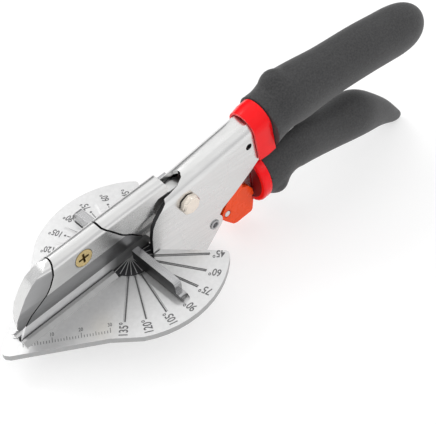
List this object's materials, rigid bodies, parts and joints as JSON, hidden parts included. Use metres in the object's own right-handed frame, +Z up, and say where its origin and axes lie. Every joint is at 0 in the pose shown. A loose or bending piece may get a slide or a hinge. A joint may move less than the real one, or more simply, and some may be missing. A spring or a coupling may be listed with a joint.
{
  "type": "mitre shears",
  "caption": "Mitre shears with a straight blade over an anvil, an angle plate with two fences, two soft grips and a thumb latch.",
  "frame": {"origin": "middle of the footprint on the surface that the tool rests on", "axes": "+X from the grips to the blade's nose, +Y to the side that shows the clamp screw, +Z up"},
  "size_m": [0.2086, 0.0714, 0.0622],
  "materials": {
    "satin_steel": "satin nickel plate",
    "dark_steel": "plain steel",
    "blade_steel": "ground",
    "bright_steel": "champagne plate",
    "anvil": "satin",
    "brass": "polished",
    "grip_rubber": "matt",
    "red_plastic": "glossy",
    "orange_plastic": "satin"
  },
  "bodies": {
    "body": {"body_channel": "satin_steel", "keel_block": "dark_steel", "keel_rivet_rear": "dark_steel", "keel_rivet_front": "dark_steel", "angle_plate": "satin_steel", "anvil_rail": "anvil", "rail_screw": "dark_steel", "near_fence": "satin_steel", "far_fence": "satin_steel", "near_fence_screw": "dark_steel", "far_fence_screw": "dark_steel", "pivot_bolt": "bright_steel", "pivot_nut": "dark_steel", "near_washer": "dark_steel", "far_washer": "dark_steel", "catch_pin": "dark_steel", "upper_grip": "grip_rubber", "upper_collar": "red_plastic", "spring_seat_upper": "dark_steel", "return_spring": "dark_steel"},
    "lever": {"lever_arm": "satin_steel", "blade_clamp": "satin_steel", "clamp_screw": "brass", "blade": "blade_steel", "blade_pin_rear": "blade_steel", "blade_pin_front": "blade_steel", "spring_seat_lower": "dark_steel", "lower_grip": "grip_rubber", "lower_collar": "red_plastic"},
    "latch": {"latch": "orange_plastic", "latch_pin": "dark_steel"}
  },
  "joints": [
    {"name": "jaw_pivot", "type": "hinge", "parent": "body", "child": "lever", "pos_m": [0.02473, 0, 0.03452], "axis": [0, -1, 0], "range_deg": [0, 28], "deforming": ["return_spring"]},
    {"name": "latch_pivot", "type": "hinge", "parent": "lever", "child": "latch", "pos_m": [0.00206, 0, 0.01261], "axis": [0, 1, 0], "range_deg": [0, 12]}
  ]
}
